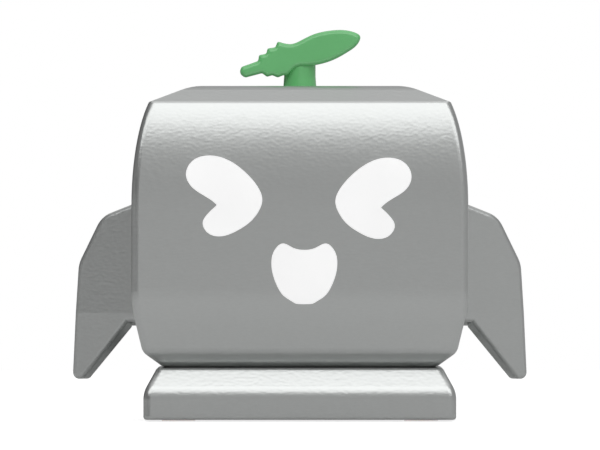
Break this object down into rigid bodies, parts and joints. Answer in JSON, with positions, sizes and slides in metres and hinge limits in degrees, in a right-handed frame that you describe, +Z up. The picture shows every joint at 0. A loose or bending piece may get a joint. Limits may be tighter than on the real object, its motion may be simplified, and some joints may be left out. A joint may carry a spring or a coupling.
{
  "type": "desk robot kit",
  "caption": "Box-bodied desk robot with a turning torso on a flat foot, two swinging fin arms, a glowing face and a leaf sprout on top.",
  "frame": {"origin": "middle of the underside of the rubber feet, on the waist axis", "axes": "+Z up along the waist axis, -Y out of the face, +X towards the robot's own left arm"},
  "size_m": [0.1352, 0.0996, 0.1163],
  "materials": {
    "shell_metal": "satin, finely brushed",
    "arm_metal": "satin, fine bead-blasted grain",
    "window_white": "white diffusing lens",
    "sprout_green": "soft satin moulding",
    "foot_rubber": "matte",
    "black_plastic": "fine texture",
    "servo_blue": "translucent blue case",
    "frame_plastic": "plain",
    "cell_wrap": "shrink wrap",
    "board_green": "solder mask",
    "chip_black": "epoxy",
    "led_white": "phosphor",
    "speaker_steel": "plated",
    "cone_black": "paper cone",
    "socket_steel": "plated",
    "button_metal": "satin",
    "collar_white": "low-friction plastic",
    "pad_grey": "low-friction plastic",
    "horn_white": "nylon",
    "bush_brass": "turned",
    "screw_steel": "plated"
  },
  "bodies": {
    "base": {"base_shell": "shell_metal", "base_plate": "black_plastic", "base_plate_screws": "screw_steel", "rubber_feet": "foot_rubber", "waist_horn": "horn_white", "waist_horn_screws": "screw_steel", "waist_shaft": "screw_steel"},
    "torso": {"front_shell": "shell_metal", "rear_cover": "shell_metal", "rear_cover_screws": "screw_steel", "left_eye_window": "window_white", "right_eye_window": "window_white", "mouth_window": "window_white", "face_light_frame": "black_plastic", "face_led_board": "board_green", "face_leds": "led_white", "chassis_frame": "frame_plastic", "chassis_screws": "screw_steel", "waist_servo": "servo_blue", "left_shoulder_servo": "servo_blue", "right_shoulder_servo": "servo_blue", "servo_screws": "screw_steel", "left_shoulder_bush": "bush_brass", "right_shoulder_bush": "bush_brass", "battery_holder": "black_plastic", "battery_cells": "cell_wrap", "controller_board": "board_green", "controller_board_screws": "screw_steel", "controller_chips": "chip_black", "servo_headers": "chip_black", "usb_socket": "socket_steel", "speaker_basket": "speaker_steel", "speaker_cone": "cone_black", "power_switch": "chip_black", "sprout_collar": "collar_white", "swivel_pad": "pad_grey"},
    "left_arm_assembly": {"left_arm": "arm_metal", "left_arm_shaft": "screw_steel", "left_arm_grub_screw": "screw_steel"},
    "right_arm_assembly": {"right_arm": "arm_metal", "right_arm_shaft": "screw_steel", "right_arm_grub_screw": "screw_steel"},
    "sprout": {"sprout_stem": "sprout_green", "sprout_leaf": "sprout_green", "sprout_clip": "screw_steel"},
    "power_button_body": {"power_button": "button_metal"}
  },
  "joints": [
    {"name": "waist_turn", "type": "hinge", "parent": "base", "child": "torso", "pos_m": [0, 0, 0.0163], "axis": [0, 0, 1], "range_deg": [-90, 90]},
    {"name": "left_shoulder_swing", "type": "hinge", "parent": "torso", "child": "left_arm_assembly", "pos_m": [0.0504, 0, 0.048], "axis": [-1, 0, 0], "range_deg": [-45, 135]},
    {"name": "right_shoulder_swing", "type": "hinge", "parent": "torso", "child": "right_arm_assembly", "pos_m": [-0.0504, 0, 0.048], "axis": [-1, 0, 0], "range_deg": [-45, 135]},
    {"name": "sprout_turn", "type": "hinge", "parent": "torso", "child": "sprout", "pos_m": [0, 0, 0.0995], "axis": [0, 0, 1], "range_deg": [-90, 90]},
    {"name": "power_press", "type": "slide", "parent": "torso", "child": "power_button_body", "axis": [0, -1, 0], "range_m": [0, 0.0012], "stiffness_N_per_m": 400}
  ]
}
